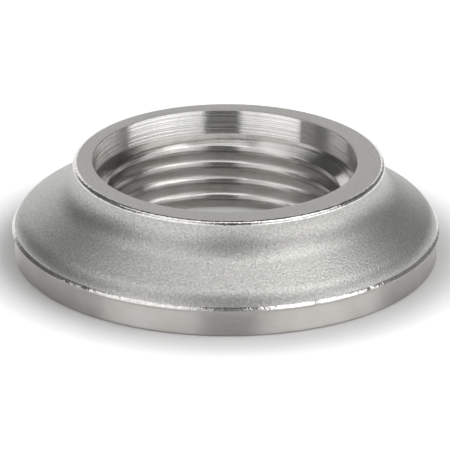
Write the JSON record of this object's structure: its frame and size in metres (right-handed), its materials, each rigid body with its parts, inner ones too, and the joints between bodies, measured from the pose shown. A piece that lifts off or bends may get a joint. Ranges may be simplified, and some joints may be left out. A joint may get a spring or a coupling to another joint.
{
  "type": "weld spud",
  "caption": "Round stainless weld spud: a cast flared boss on a turned flange, with a tapered pipe thread under a smooth recess in its rim.",
  "frame": {"origin": "centre of the flat weld face under the flange", "axes": "+Z along the bore axis, from the weld face towards the rim"},
  "size_m": [0.0546, 0.0546, 0.0128],
  "materials": {
    "stainless": "shot-blasted casting skin, with machined flange edge, rim face, recess and thread"
  },
  "bodies": {
    "root": {"weld_spud": "stainless"}
  },
  "joints": []
}
